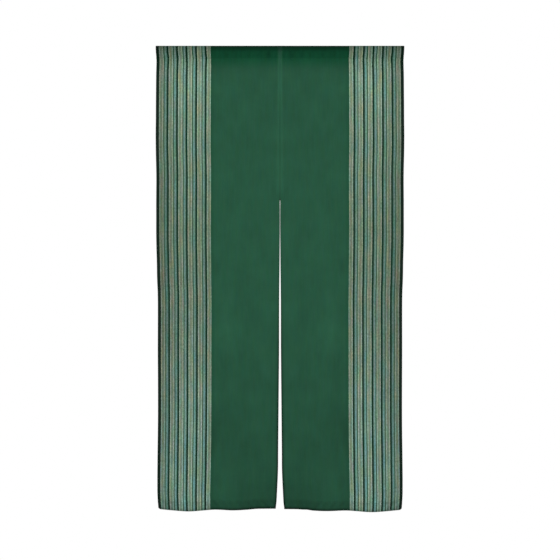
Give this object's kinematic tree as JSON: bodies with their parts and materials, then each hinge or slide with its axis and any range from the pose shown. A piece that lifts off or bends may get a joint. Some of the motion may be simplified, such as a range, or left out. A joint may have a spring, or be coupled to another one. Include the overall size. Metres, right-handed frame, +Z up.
{
  "type": "noren curtain",
  "caption": "Split doorway curtain of woven striped cotton, two panels seamed together near the top, hung by a sewn rod pocket.",
  "frame": {"origin": "middle of the top edge, where a hidden rod holds the curtain up", "axes": "+Z up, +X to the right as seen from the front, and the front of the cloth faces -Y"},
  "size_m": [0.8008, 0.0292, 1.5053],
  "materials": {
    "cloth": "matt yarn-dyed woven cotton, green ground with vertical stripes"
  },
  "bodies": {
    "root": {"panel_left": "cloth", "panel_right": "cloth"}
  },
  "joints": []
}
